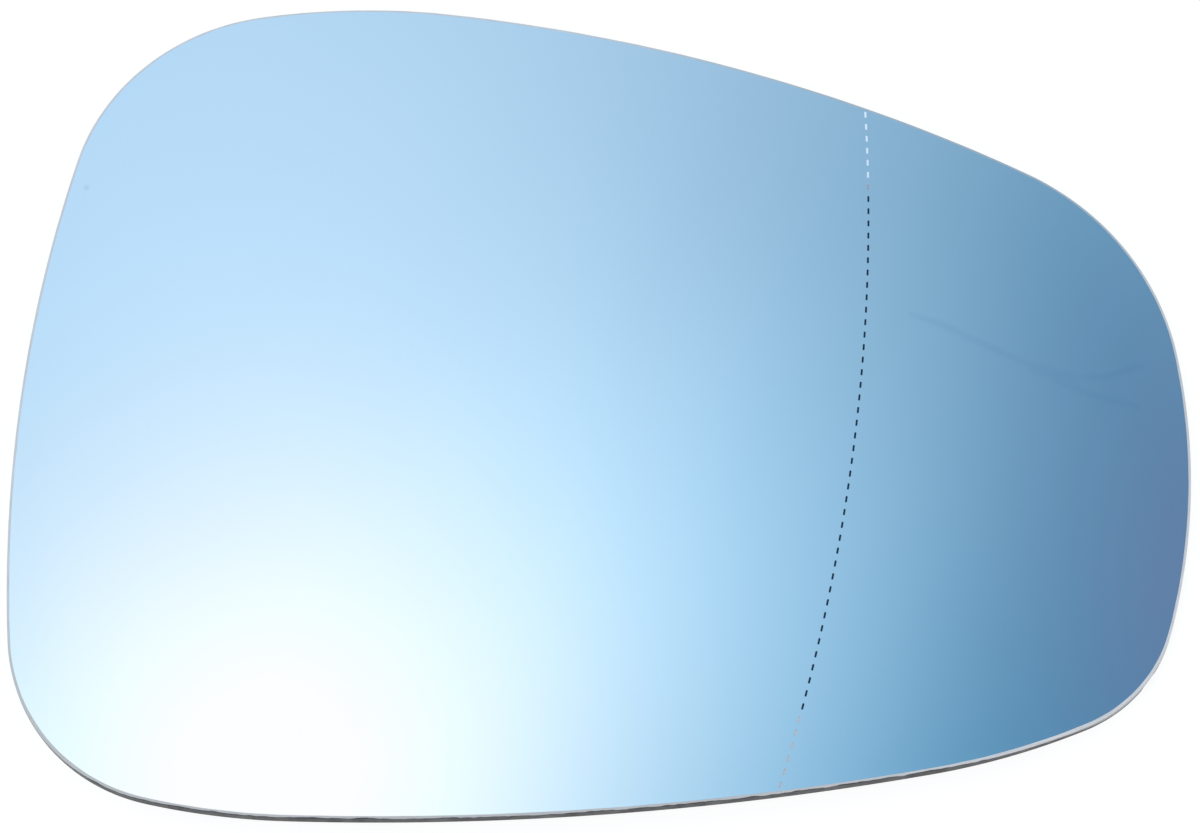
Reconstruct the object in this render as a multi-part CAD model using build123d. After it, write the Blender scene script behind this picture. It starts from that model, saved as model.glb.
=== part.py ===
from build123d import *
import math
import os

os.makedirs("parts", exist_ok=True)

# A door mirror glass for the right-hand side of a car, lying on its back with its reflecting face up.
# X runs outboard along the glass, Y runs up it and Z stands out of its face. Sizes are in millimetres.

# Outline, seen from the front: long side arcs that touch this box, and corner arcs between them
WIDTH = 175.0
HEIGHT = 131.2
# Where each side touches the box, from the middle of the box
CROWN_AT = -37.5
BOTTOM_AT = -29.0
INNER_AT = -20.0
OUTER_AT = -8.0
# Radii of the sides
CROWN_RADIUS = 109.0
BOTTOM_RADIUS = 405.0
INNER_RADIUS = 236.0
OUTER_RADIUS = 101.0
# The crown runs on into a flatter slope, and the bottom into a tighter arc at each end
CROWN_END_DEGREES = 7.8
SLOPE_RADIUS = 280.0
BOTTOM_INNER_END_DEGREES = 2.3
BOTTOM_INNER_RADIUS = 105.0
BOTTOM_OUTER_END_DEGREES = 10.9
BOTTOM_OUTER_RADIUS = 105.0
# Radii of the corners
UPPER_INNER_RADIUS = 33.0
UPPER_OUTER_RADIUS = 40.0
LOWER_INNER_RADIUS = 27.5
LOWER_OUTER_RADIUS = 23.5

# Reflecting face: part of a ball, which bends more and more past the dividing line
MAIN_RADIUS = 1400.0
OUTER_END_RADIUS = 350.0
CREST_X = 3.0
CREST_Y = -6.0
# Dividing line: an arc about its own axis, upright where it passes this place on the face
DIVIDE_X = 40.4
DIVIDE_Y = 36.8
DIVIDE_RADIUS = 325.0

# Glass sheet and its ground edges
GLASS_THICKNESS = 2.0
FRONT_GRIND = 0.4
BACK_GRIND = 0.25

# Dashes of the dividing line, cut through the coat on the face
DASH_PITCH = 2.06
DASH_LENGTH = 1.0
DASH_WIDTH = 0.3
DASH_DEPTH = 0.08
# A dash is left out if its middle would come closer than this to the ground edge
DASH_TO_RIM = 0.3

# Pad stuck to the back
PAD_THICKNESS = 1.0
PAD_INSET = 12.0

# How far the tools that cut the sheet reach past it
MARGIN = 15.0


def corner_arc(first, second, radius):
    """The arc of that radius that touches two side arcs from inside, met in anticlockwise order."""
    (first_centre, first_radius), (second_centre, second_radius) = first, second
    across = second_centre - first_centre
    first_reach = first_radius - radius
    second_reach = second_radius - radius
    along = (first_reach**2 - second_reach**2 + across.length**2) / (2 * across.length)
    aside = math.sqrt(first_reach**2 - along**2)
    forward = across.normalized()
    return first_centre + forward * along + forward.rotate(Axis.Z, 90) * aside, radius


def run_on(arc, way, radius):
    """The arc of that radius that carries on from another one without a kink, where that one faces that way."""
    return arc[0] + way * (arc[1] - radius), radius


def outline_arcs():
    """Every arc of the outline as a centre and a radius, anticlockwise from the bottom."""
    bottom = Vector(BOTTOM_AT, BOTTOM_RADIUS - HEIGHT / 2), BOTTOM_RADIUS
    outer = Vector(WIDTH / 2 - OUTER_RADIUS, OUTER_AT), OUTER_RADIUS
    crown = Vector(CROWN_AT, HEIGHT / 2 - CROWN_RADIUS), CROWN_RADIUS
    inner = Vector(INNER_RADIUS - WIDTH / 2, INNER_AT), INNER_RADIUS
    slope = run_on(crown, Vector(0, 1).rotate(Axis.Z, -CROWN_END_DEGREES), SLOPE_RADIUS)
    bottom_outer = run_on(bottom, Vector(0, -1).rotate(Axis.Z, BOTTOM_OUTER_END_DEGREES), BOTTOM_OUTER_RADIUS)
    bottom_inner = run_on(bottom, Vector(0, -1).rotate(Axis.Z, -BOTTOM_INNER_END_DEGREES), BOTTOM_INNER_RADIUS)
    return [
        bottom,
        bottom_outer,
        corner_arc(bottom_outer, outer, LOWER_OUTER_RADIUS),
        outer,
        corner_arc(outer, slope, UPPER_OUTER_RADIUS),
        slope,
        crown,
        corner_arc(crown, inner, UPPER_INNER_RADIUS),
        inner,
        corner_arc(inner, bottom_inner, LOWER_INNER_RADIUS),
        bottom_inner,
    ]


def meeting_point(one, other, inset):
    """Where two neighbouring arcs touch, with both drawn that far inside the outline."""
    wide, tight = (one, other) if one[1] > other[1] else (other, one)
    return wide[0] + (tight[0] - wide[0]).normalized() * (wide[1] - inset)


def outline_face(inset):
    """The flat shape inside the outline, drawn that far inside it all round."""
    arcs = outline_arcs()
    edges = []
    for place, (centre, radius) in enumerate(arcs):
        start = meeting_point(arcs[place - 1], arcs[place], inset)
        end = meeting_point(arcs[place], arcs[(place + 1) % len(arcs)], inset)
        halfway = (start - centre) + (end - centre)
        edges.append(ThreePointArc(start, centre + halfway.normalized() * (radius - inset), end))
    return make_face(edges)


# The ball's centre, and the dividing line's own frame where it stands upright: outward, and out of the face
ball_centre = Vector(CREST_X, CREST_Y, -MAIN_RADIUS)
divide_east = DIVIDE_X - CREST_X
divide_north = DIVIDE_Y - CREST_Y
divide_rise = math.sqrt(MAIN_RADIUS**2 - divide_east**2 - divide_north**2)
divide_up = Vector(divide_east, divide_north, divide_rise).normalized()
divide_point = ball_centre + divide_up * MAIN_RADIUS
divide_out = (Vector(1, 0, 0) - divide_up * divide_up.X).normalized()
divide_plane = Plane(origin=divide_point, x_dir=divide_out, z_dir=divide_out.cross(divide_up))

# The face is turned about an axis through the ball's centre, so that the dividing line is a true circle
divide_angle = math.asin(DIVIDE_RADIUS / MAIN_RADIUS)
turning_axis = Axis(ball_centre, divide_up * math.cos(divide_angle) - divide_out * math.sin(divide_angle))


def under_the_face():
    """A solid that fills everything under the reflecting face, well past the glass on every side."""
    inner_reach = WIDTH / 2 + DIVIDE_X + MARGIN
    zone_width = WIDTH / 2 - DIVIDE_X
    outer_reach = zone_width + MARGIN
    bend_growth = (1 / OUTER_END_RADIUS - 1 / MAIN_RADIUS) / zone_width
    turn = math.asin(inner_reach / MAIN_RADIUS)

    def on_ball(angle):
        return -MAIN_RADIUS * math.sin(angle), MAIN_RADIUS * (math.cos(angle) - 1)

    ball_drop = outer_reach**2 / (2 * MAIN_RADIUS)
    outer_end = outer_reach, -ball_drop - bend_growth * outer_reach**3 / 6
    floor = on_ball(turn)[1] - GLASS_THICKNESS - PAD_THICKNESS - MARGIN
    main_zone = ThreePointArc(on_ball(turn), on_ball(turn / 2), (0, 0))
    outer_zone = Bezier((0, 0), (outer_reach / 3, 0), (outer_reach * 2 / 3, -ball_drop / 3), outer_end)
    below = Polyline(outer_end, (outer_reach, floor), (-inner_reach, floor), on_ball(turn))
    section = divide_plane * make_face([main_zone, outer_zone, below])
    return revolve(section, turning_axis, 180).rotate(turning_axis, -90)


def sheet(face_solid, inset, top, thickness):
    """A sheet inside the outline, its front and its back both shaped as the face and set that far below it."""
    blank = extrude(outline_face(inset), HEIGHT, both=True)
    return (Pos(0, 0, -top) * face_solid & blank) - Pos(0, 0, -top - thickness) * face_solid


def rim_edges(glass, side):
    """The edges all round the front of the glass, side 1, or round its back, side -1."""
    faces = glass.faces().filter_by(lambda face: face.normal_at().Z * side > 0.5)
    walls = glass.faces().filter_by(lambda face: abs(face.normal_at().Z) < 0.5)
    return faces.edges() & walls.edges()


def dash_cutters():
    """Shallow slots along the dividing line, from rim to rim."""
    slot = divide_plane * extrude(Rectangle(DASH_WIDTH, 2 * DASH_DEPTH), DASH_LENGTH / 2, both=True)
    room = outline_face(FRONT_GRIND + DASH_TO_RIM)
    step = math.degrees(DASH_PITCH / DIVIDE_RADIUS)
    half_count = math.ceil(HEIGHT / DASH_PITCH)
    slots = [slot.rotate(turning_axis, step * place) for place in range(-half_count, half_count + 1)]
    return [each for each in slots if room.is_inside(Vector(each.center().X, each.center().Y))]


face_solid = under_the_face()

mirror_glass = sheet(face_solid, 0, 0, GLASS_THICKNESS)
mirror_glass = chamfer(rim_edges(mirror_glass, 1), FRONT_GRIND)
mirror_glass = chamfer(rim_edges(mirror_glass, -1), BACK_GRIND)
mirror_glass = mirror_glass - dash_cutters()

backing_pad = sheet(face_solid, PAD_INSET, GLASS_THICKNESS, PAD_THICKNESS)

# Both pieces are lifted together, so that the part rests at height zero
lowest = min(piece.bounding_box().min.Z for piece in (mirror_glass, backing_pad))
lift = Pos(0, 0, -lowest)

export_step(lift * mirror_glass, "parts/mirror_glass.step")
export_step(lift * backing_pad, "parts/backing_pad.step")
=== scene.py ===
# %% [markdown]
# This lesson dresses one part: the glass of a car's right-hand door mirror. The real one is a 2 mm sheet of
# glass, cut to shape, ground along its edge, bent like a piece of a very large ball and given a blue
# reflecting coat on its front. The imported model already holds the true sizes, so it is loaded first and
# measured, and everything after that is built in the same place and at the same size.

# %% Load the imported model
import math

import bpy
import numpy as np
from mathutils import Matrix, Vector, noise


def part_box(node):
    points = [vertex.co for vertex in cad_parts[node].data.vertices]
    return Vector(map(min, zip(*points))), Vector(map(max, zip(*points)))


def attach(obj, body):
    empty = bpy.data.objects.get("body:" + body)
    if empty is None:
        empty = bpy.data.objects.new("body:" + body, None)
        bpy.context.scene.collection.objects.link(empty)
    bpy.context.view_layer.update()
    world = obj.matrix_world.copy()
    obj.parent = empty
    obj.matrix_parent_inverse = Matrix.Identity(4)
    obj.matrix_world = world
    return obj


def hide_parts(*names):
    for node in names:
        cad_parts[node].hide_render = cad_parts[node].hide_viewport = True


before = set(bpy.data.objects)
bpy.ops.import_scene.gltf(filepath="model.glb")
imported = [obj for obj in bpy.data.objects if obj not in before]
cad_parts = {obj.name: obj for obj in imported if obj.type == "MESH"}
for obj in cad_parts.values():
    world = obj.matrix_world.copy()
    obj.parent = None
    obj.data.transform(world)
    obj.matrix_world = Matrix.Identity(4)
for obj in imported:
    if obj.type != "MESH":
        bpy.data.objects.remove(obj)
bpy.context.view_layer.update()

MM = 0.001

glass_low, glass_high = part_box("mirror_glass")
pad_low, pad_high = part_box("backing_pad")
scene = bpy.context.scene
scene.view_settings.view_transform = "Standard"
print("glass box in mm:", [round(v / MM, 2) for v in (*glass_low, *glass_high)])
print("pad box in mm:", [round(v / MM, 2) for v in (*pad_low, *pad_high)])

# %% [markdown]
# The camera stands where the photographer's did. The spacing of the dashes and the width of the visible
# lower edge give its lean, 23 degrees off straight down towards the lower edge of the glass, and its
# distance. A long lens from three quarters of a metre keeps the outline nearly free of perspective. The
# middle of the picture is aimed at a point close to the middle of the glass, so the lens needs no shift.

# %% Camera
CAMERA_LEAN = math.radians(23.0)
CAMERA_DISTANCE = 760.0 * MM
CAMERA_AIM = Vector((-0.19, -2.89, 4.21)) * MM
LENS = 153.53
SENSOR = 36.0

camera_data = bpy.data.cameras.new("camera")
camera_data.lens = LENS
camera_data.sensor_width = SENSOR
camera = bpy.data.objects.new("camera", camera_data)
scene.collection.objects.link(camera)
towards_camera = Vector((0, -math.sin(CAMERA_LEAN), math.cos(CAMERA_LEAN)))
camera.location = CAMERA_AIM + towards_camera * CAMERA_DISTANCE
camera.rotation_euler = (CAMERA_LEAN, 0, 0)
scene.camera = camera
print("camera at", [round(v / MM) for v in camera.location], "mm")

# %% [markdown]
# Every material, light and shape below is a tree of nodes. A few helpers keep the trees readable: one adds a
# node and joins its inputs, five write a sum with numbers or vectors as one line, one blends two colours,
# and one starts a group with named inputs and outputs.

# %% Helpers for node trees
def add_node(tree, kind, feeds=None, **options):
    """Adds a node, sets its options, then gives each named or numbered input a socket or a plain value."""
    node = tree.nodes.new(kind)
    for option, value in options.items():
        setattr(node, option, value)
    for place, value in (feeds or {}).items():
        if isinstance(value, bpy.types.NodeSocket):
            tree.links.new(value, node.inputs[place])
        else:
            node.inputs[place].default_value = value
    return node


def maths(tree, operation, *values):
    """The answer of one Math node."""
    return add_node(tree, "ShaderNodeMath", dict(enumerate(values)), operation=operation).outputs[0]


def vectors(tree, operation, *values):
    """The vector that one Vector Math node gives."""
    node = add_node(tree, "ShaderNodeVectorMath", dict(enumerate(values)), operation=operation)
    return node.outputs["Vector"]


def scaled(tree, vector, factor):
    """A vector or colour times a number."""
    feeds = {0: vector, "Scale": factor}
    return add_node(tree, "ShaderNodeVectorMath", feeds, operation="SCALE").outputs["Vector"]


def dotted(tree, one, other):
    """The dot product of two vectors."""
    feeds = {0: one, 1: other}
    return add_node(tree, "ShaderNodeVectorMath", feeds, operation="DOT_PRODUCT").outputs["Value"]


def remapped(tree, value, old, new, style="LINEAR"):
    """A value moved from one range to another, and kept inside the new one."""
    feeds = {"Value": value, "From Min": old[0], "From Max": old[1], "To Min": new[0], "To Max": new[1]}
    return add_node(tree, "ShaderNodeMapRange", feeds, interpolation_type=style).outputs["Result"]


def blended(tree, factor, one, other):
    """One colour where the factor is 0, the other where it is 1."""
    return add_node(tree, "ShaderNodeMix", {"Factor": factor, 6: one, 7: other}, data_type="RGBA").outputs[2]


def new_group(kind, name, inputs, outputs):
    """An empty node group, and the sockets inside it that its named inputs and outputs lead to."""
    tree = bpy.data.node_groups.new(name, kind)
    for label, socket in inputs.items():
        tree.interface.new_socket(label, in_out="INPUT", socket_type="NodeSocket" + socket)
    for label, socket in outputs.items():
        tree.interface.new_socket(label, in_out="OUTPUT", socket_type="NodeSocket" + socket)
    return tree, tree.nodes.new("NodeGroupInput").outputs, tree.nodes.new("NodeGroupOutput").inputs


print("node helpers ready")

# %% [markdown]
# A mirror has hardly any look of its own: what it shows is the room above it. Here that room is a dim, cool
# ceiling with a warm lamp a little to the left of straight overhead, a wide pale glow further away, a cool
# window nearer the camera, and white walls that are brighter on the left, greyer on the far side and warmer
# behind the camera, over an even grey lower part. The near half of the ceiling is pale on the left and blue
# on the right. An image of a studio would be the quick way, but soft round lights that are worked out from
# the direction of the ray have no edges, need no file and can be read and changed. Each lamp is one copy of
# a small group: it is brightest where the ray points at it and fades smoothly with the angle.

# %% Studio light
CEILING = (0.06, 0.26, 0.37)
NEAR_CEILING_LEFT = (0.62, 0.84, 0.95, 1.0)
NEAR_CEILING_RIGHT = (0.12, 0.36, 0.52, 1.0)
RIGHT_WALL = (1.0, 1.0, 1.0, 1.0)
LEFT_WALL = (1.2, 1.32, 1.4, 1.0)
FAR_WALL = (0.32, 0.40, 0.50, 1.0)
NEAR_WALL = (0.76, 0.65, 0.61, 1.0)
LOW_WALL = (0.66, 0.70, 0.76, 1.0)
# The walls start where a ray's upward share drops below the first number, and hide the ceiling at the second
WALLS_START = 0.89
WALLS_FULL = 0.67
# The left wall starts and is full at these shares to the left, the far wall at these shares away from the
# camera, and the near one at these towards it
LEFT_START = 0.2
LEFT_FULL = 0.6
FAR_START = 0.55
FAR_FULL = 0.8
NEAR_START = 0.1
NEAR_FULL = 0.5
# All walls turn into the same low wall between these upward shares
LOW_START = 0.5
LOW_FULL = 0.2
# The near half of the ceiling starts and is full at these shares away from the camera, and its colour turns
# from that of the left to that of the right up to this share on either side
NEAR_CEILING_START = 0.23
NEAR_CEILING_FULL = 0.05
NEAR_CEILING_REACH = 0.35
# Each lamp: degrees to the right of overhead, degrees away from the camera, how tight it is, and its colour
LAMPS = {
    "far glow": (-10, 29, 24, (0.90, 0.70, 0.60)),
    "warm lamp": (-8, 14, 105, (1.40, 0.50, 0.0)),
    "small fill": (0, 19, 150, (0.20, 0.25, 0.25)),
    "cool window": (-13, -2, 28, (0.55, 1.35, 1.70)),
    "red fill": (22, 19, 90, (0.15, 0.0, 0.0)),
}
# Where lamps overlap, their light stops at the level that makes the blue coat just white
LAMPS_LIMIT = (1.98, 1.35, 1.05)

soft_lamp, given, result = new_group(
    "ShaderNodeTree", "soft_lamp",
    {"Direction": "Vector", "Aim": "Vector", "Tightness": "Float", "Colour": "Color"}, {"Light": "Color"},
)
off_aim = maths(soft_lamp, "SUBTRACT", dotted(soft_lamp, given["Direction"], given["Aim"]), 1.0)
fade = maths(soft_lamp, "EXPONENT", maths(soft_lamp, "MULTIPLY", off_aim, given["Tightness"]))
soft_lamp.links.new(scaled(soft_lamp, given["Colour"], fade), result["Light"])

world = bpy.data.worlds.new("studio")
scene.world = world
world.use_nodes = True
sky = world.node_tree
sky.nodes.clear()
direction = vectors(sky, "NORMALIZE", add_node(sky, "ShaderNodeTexCoord").outputs["Generated"])
overhead = CEILING
for name, (right, away, tightness, colour) in LAMPS.items():
    aim = Vector((math.tan(math.radians(right)), math.tan(math.radians(away)), 1.0)).normalized()
    feeds = {"Direction": direction, "Aim": aim, "Tightness": tightness, "Colour": (*colour, 1.0)}
    lamp = add_node(sky, "ShaderNodeGroup", feeds, node_tree=soft_lamp, label=name)
    overhead = vectors(sky, "ADD", overhead, lamp.outputs["Light"])
overhead = vectors(sky, "MINIMUM", overhead, LAMPS_LIMIT)
shares = add_node(sky, "ShaderNodeSeparateXYZ", {0: direction}).outputs
wall_share = remapped(sky, shares["Z"], (WALLS_FULL, WALLS_START), (1.0, 0.0), "SMOOTHSTEP")
far_share = remapped(sky, shares["Y"], (FAR_START, FAR_FULL), (0.0, 1.0), "SMOOTHSTEP")
near_share = remapped(sky, shares["Y"], (-NEAR_FULL, -NEAR_START), (1.0, 0.0), "SMOOTHSTEP")
left_share = remapped(sky, shares["X"], (-LEFT_FULL, -LEFT_START), (1.0, 0.0), "SMOOTHSTEP")
walls = blended(sky, left_share, RIGHT_WALL, LEFT_WALL)
walls = blended(sky, near_share, blended(sky, far_share, walls, FAR_WALL), NEAR_WALL)
low_share = remapped(sky, shares["Z"], (LOW_FULL, LOW_START), (1.0, 0.0), "SMOOTHSTEP")
walls = blended(sky, low_share, walls, LOW_WALL)
near_half = (NEAR_CEILING_FULL, NEAR_CEILING_START)
near_ceiling_share = remapped(sky, shares["Y"], near_half, (1.0, 0.0), "SMOOTHSTEP")
side_to_side = (-NEAR_CEILING_REACH, NEAR_CEILING_REACH)
right_share = remapped(sky, shares["X"], side_to_side, (0.0, 1.0), "SMOOTHSTEP")
near_ceiling = blended(sky, right_share, NEAR_CEILING_LEFT, NEAR_CEILING_RIGHT)
room = blended(sky, wall_share, blended(sky, near_ceiling_share, overhead, near_ceiling), walls)
background = add_node(sky, "ShaderNodeBackground", {"Color": room, "Strength": 1.0})
add_node(sky, "ShaderNodeOutputWorld", {"Surface": background.outputs[0]})
print("studio with", len(LAMPS), "soft lamps")

# %% [markdown]
# The glass lies on a plain white table. A lit white surface is never quite as white as paper looks in a
# photograph, so part of what the camera sees of the table is its own even glow, and the rest is ordinary
# matt white that still takes the shadow under the rim. Only rays that come from the camera, a reflection or
# a clear material see the glow, so it casts no light on matt surfaces.

# %% Table
TABLE_HALF = 6.0
TABLE_WHITE = 0.85
TABLE_GLOW = 1.17
TABLE_GLOW_SHARE = 0.75

corners = [(x * TABLE_HALF, y * TABLE_HALF, 0) for x, y in ((-1, -1), (1, -1), (1, 1), (-1, 1))]
table_mesh = bpy.data.meshes.new("table")
table_mesh.from_pydata(corners, [], [(0, 1, 2, 3)])
table = bpy.data.objects.new("table", table_mesh)
scene.collection.objects.link(table)

table_white = bpy.data.materials.new("table_white")
table_white.use_nodes = True
paint = table_white.node_tree
paint.nodes.clear()
rays = add_node(paint, "ShaderNodeLightPath").outputs
looked_at = maths(paint, "MAXIMUM", rays["Is Camera Ray"], rays["Is Glossy Ray"])
looked_at = maths(paint, "MAXIMUM", looked_at, rays["Is Transmission Ray"])
matt = add_node(paint, "ShaderNodeBsdfDiffuse", {"Color": (TABLE_WHITE, TABLE_WHITE, TABLE_WHITE, 1.0)})
glow = add_node(paint, "ShaderNodeEmission", {"Color": (1.0, 1.0, 1.0, 1.0), "Strength": TABLE_GLOW})
glow_share = maths(paint, "MULTIPLY", looked_at, TABLE_GLOW_SHARE)
mixed = add_node(paint, "ShaderNodeMixShader", {0: glow_share, 1: matt.outputs[0], 2: glow.outputs[0]})
add_node(paint, "ShaderNodeOutputMaterial", {"Surface": mixed.outputs[0]})
table_mesh.materials.append(table_white)
print("table of", 2 * TABLE_HALF, "m")

# %% [markdown]
# Two effects come back in several finishes. Nothing that was made in a furnace or on a grinding belt is the
# same all over, so one group gives soft uneven patches of any size. The other gives the marks of the belt
# along the rim: fine streaks that run with the edge and a sandy grain. The streaks follow the rim because
# they read an attribute, profile, that tells how far round the edge's section a point lies.

# %% Shared effects
STREAK_LENGTH = 3.0 * MM
STREAK_WIDTH = 0.12 * MM
# Most values of a noise texture lie in this range
NOISE_SPAN = (0.3, 0.7)

patches, given, result = new_group(
    "ShaderNodeTree", "soft_patches", {"Place": "Vector", "Size": "Float", "Low": "Float", "High": "Float"},
    {"Value": "Float"},
)
per_patch = maths(patches, "DIVIDE", 1.0, given["Size"])
soft = {"Vector": given["Place"], "Scale": per_patch, "Detail": 3.0}
cloud = add_node(patches, "ShaderNodeTexNoise", soft)
value = remapped(patches, cloud.outputs["Fac"], NOISE_SPAN, (given["Low"], given["High"]))
patches.links.new(value, result["Value"])

grinding, given, result = new_group(
    "ShaderNodeTree", "grinding_marks", {"Place": "Vector", "Profile": "Float", "Grain": "Float"},
    {"Streaks": "Float", "Height": "Float"},
)
place = add_node(grinding, "ShaderNodeSeparateXYZ", {0: given["Place"]}).outputs
along_x = maths(grinding, "DIVIDE", place["X"], STREAK_LENGTH)
along_y = maths(grinding, "DIVIDE", place["Y"], STREAK_LENGTH)
across = maths(grinding, "DIVIDE", given["Profile"], STREAK_WIDTH)
on_belt = add_node(grinding, "ShaderNodeCombineXYZ", {0: along_x, 1: along_y, 2: across}).outputs[0]
streaks = add_node(grinding, "ShaderNodeTexNoise", {"Vector": on_belt, "Scale": 1.0, "Detail": 2.0})
per_grain = maths(grinding, "DIVIDE", 1.0, given["Grain"])
sandy = {"Vector": given["Place"], "Scale": per_grain, "Detail": 4.0}
sand = add_node(grinding, "ShaderNodeTexNoise", sandy)
stretched = remapped(grinding, streaks.outputs["Fac"], NOISE_SPAN, (0.0, 1.0))
grinding.links.new(stretched, result["Streaks"])
height = maths(grinding, "ADD", streaks.outputs["Fac"], sand.outputs["Fac"])
grinding.links.new(height, result["Height"])
print("shared effects:", patches.name, "and", grinding.name)


# %% [markdown]
# A finish is a Principled shader with a few textures in front of it. These helpers start one with its
# constant settings on the shader itself, read the point's place on the piece, place a shared effect and give
# the surface a fine relief.

# %% Helpers for finishes
def new_finish(name, **settings):
    """A material with one Principled shader, its tree, and that shader."""
    material = bpy.data.materials.new(name)
    material.use_nodes = True
    tree = material.node_tree
    tree.nodes.clear()
    shader = add_node(tree, "ShaderNodeBsdfPrincipled")
    for socket, value in settings.items():
        shader.inputs[socket.replace("_", " ").title().replace("Ior", "IOR")].default_value = value
    add_node(tree, "ShaderNodeOutputMaterial", {"Surface": shader.outputs[0]})
    return material, tree, shader


def place_on(tree):
    """Where a point lies on the part, in metres."""
    return add_node(tree, "ShaderNodeTexCoord").outputs["Object"]


def attribute(tree, name):
    """A number stored on the piece's own mesh."""
    return add_node(tree, "ShaderNodeAttribute", attribute_name=name).outputs["Fac"]


def patchy(tree, size, low, high):
    """A value that wanders between two limits in soft patches."""
    feeds = {"Place": place_on(tree), "Size": size, "Low": low, "High": high}
    return add_node(tree, "ShaderNodeGroup", feeds, node_tree=patches).outputs["Value"]


def belt_marks(tree, grain):
    """Streaks and relief of the grinding belt."""
    feeds = {"Place": place_on(tree), "Profile": attribute(tree, "profile"), "Grain": grain}
    return add_node(tree, "ShaderNodeGroup", feeds, node_tree=grinding).outputs


def raise_relief(tree, shader, strength, distance, height, **options):
    """Gives a finish a relief of that strength and depth, from a height that changes over the surface."""
    feeds = {"Strength": strength, "Distance": distance, "Height": height}
    relief = add_node(tree, "ShaderNodeBump", feeds, **options)
    tree.links.new(relief.outputs["Normal"], shader.inputs["Normal"])


def colour(red, green, blue):
    """A colour as Blender's sockets take it."""
    return red, green, blue, 1.0


print("finish helpers ready")

# %% [markdown]
# The coat is a metal film, so it is metallic, very smooth and blue: the film is tuned to send back less red.
# It is a little uneven in depth, slightly hazy in patches where a cloth went over it, and carries one faint
# forked wipe mark in the outer zone and one small speck near the inner end. A stroke group gives the wipe
# mark: it fades with the distance from a straight line between two points.

# %% Blue mirror coat
COAT_BLUE = colour(0.50, 0.74, 0.96)
COAT_THIN = colour(0.485, 0.725, 0.95)
COAT_WIPED = colour(0.42, 0.66, 0.89)
FILM_PATCH = 60.0 * MM
# How rough the coat is, the size of its hazy patches, and how much rougher a mark makes it
HAZE = (0.02, 0.05)
HAZE_PATCH = 25.0 * MM
HAZE_OF_MARKS = 0.1
# How strong the wipe mark is, from its faintest to its strongest patches, and the size of these patches
WIPE_STRENGTH = (0.4, 0.8)
WIPE_PATCH = 5.0 * MM
# Wipe strokes: how wide each one is and the places that it passes, in millimetres
WIPE_STROKES = [
    (1.0, [(46.5, 13.4), (50.8, 12.0), (55.7, 9.4), (61.0, 6.9), (65.7, 4.7), (69.9, 3.6)]),
    (1.0, [(69.9, 3.6), (75.1, 3.8), (80.5, 5.9)]),
    (1.0, [(67.6, 3.2), (72.0, 1.3), (76.8, -0.1), (79.8, -0.8)]),
    (1.7, [(64.5, 4.9), (70.5, 3.4)]),
]
SPECK_AT = (-78.1, 35.5)
SPECK_WIDTH = 0.8 * MM
# A dot is a stroke with no length, and this keeps it from dividing by zero
LEAST_SQUARE = 1e-12

stroke, given, result = new_group(
    "ShaderNodeTree", "stroke", {"Place": "Vector", "Start": "Vector", "End": "Vector", "Width": "Float"},
    {"Mask": "Float"},
)
run = vectors(stroke, "SUBTRACT", given["End"], given["Start"])
flat_place = vectors(stroke, "MULTIPLY", given["Place"], (1.0, 1.0, 0.0))
from_start = vectors(stroke, "SUBTRACT", flat_place, given["Start"])
run_square = maths(stroke, "MAXIMUM", dotted(stroke, run, run), LEAST_SQUARE)
along_run = maths(stroke, "DIVIDE", dotted(stroke, from_start, run), run_square)
share = remapped(stroke, along_run, (0, 1), (0, 1))
off_line = vectors(stroke, "SUBTRACT", from_start, scaled(stroke, run, share))
distance = maths(stroke, "SQRT", dotted(stroke, off_line, off_line))
in_widths = maths(stroke, "DIVIDE", distance, given["Width"])
stroke.links.new(remapped(stroke, in_widths, (0, 1), (1, 0), "SMOOTHSTEP"), result["Mask"])


def stroke_mask(tree, start, end, width):
    """1 along a straight stroke on the face, fading to 0 at its width."""
    start = Vector((*start, 0)) * MM
    end = Vector((*end, 0)) * MM
    feeds = {"Place": place_on(tree), "Start": start, "End": end, "Width": width}
    return add_node(tree, "ShaderNodeGroup", feeds, node_tree=stroke).outputs["Mask"]


blue_coat, tree, shader = new_finish("blue_mirror_coat", metallic=1.0)
wiped = 0.0
for width, path in WIPE_STROKES:
    for start, end in zip(path, path[1:]):
        wiped = maths(tree, "MAXIMUM", wiped, stroke_mask(tree, start, end, width * MM))
wiped = maths(tree, "MULTIPLY", wiped, patchy(tree, WIPE_PATCH, *WIPE_STRENGTH))
marked = maths(tree, "MAXIMUM", wiped, stroke_mask(tree, SPECK_AT, SPECK_AT, SPECK_WIDTH))
film = blended(tree, patchy(tree, FILM_PATCH, 0.0, 1.0), COAT_BLUE, COAT_THIN)
tree.links.new(blended(tree, marked, film, COAT_WIPED), shader.inputs["Base Color"])
haze_of_marks = maths(tree, "MULTIPLY", marked, HAZE_OF_MARKS)
haze = maths(tree, "ADD", patchy(tree, HAZE_PATCH, *HAZE), haze_of_marks)
tree.links.new(haze, shader.inputs["Roughness"])
print("coat with", len(WIPE_STROKES), "wipe strokes and one speck")

# %% [markdown]
# The rim was ground by hand on a belt. Grinding breaks the glass surface into a fine white frost, which gets
# greyer towards the outside, partly because it is more see-through there and partly as painted shade where
# the
# edge turns away from the light overhead. The frost's colour also carries painted light and shade by
# direction:
# a painted highlight makes it whitest at the lower outer corner, which faces the lit side, painted shade
# makes it duller along the bottom, which faces the dim near side, and darker and bluish along the upper outer
# edge, which faces the dim far side. Where the belt didn't reach, the edge is still as the cutter left it:
# smooth, dark and glassy. They are two finishes on one edge, and the wavy border between them is part of the
# mesh further down.

# %% Ground frost and cut edge
FROST_PALE = colour(0.81, 0.82, 0.86)
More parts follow.
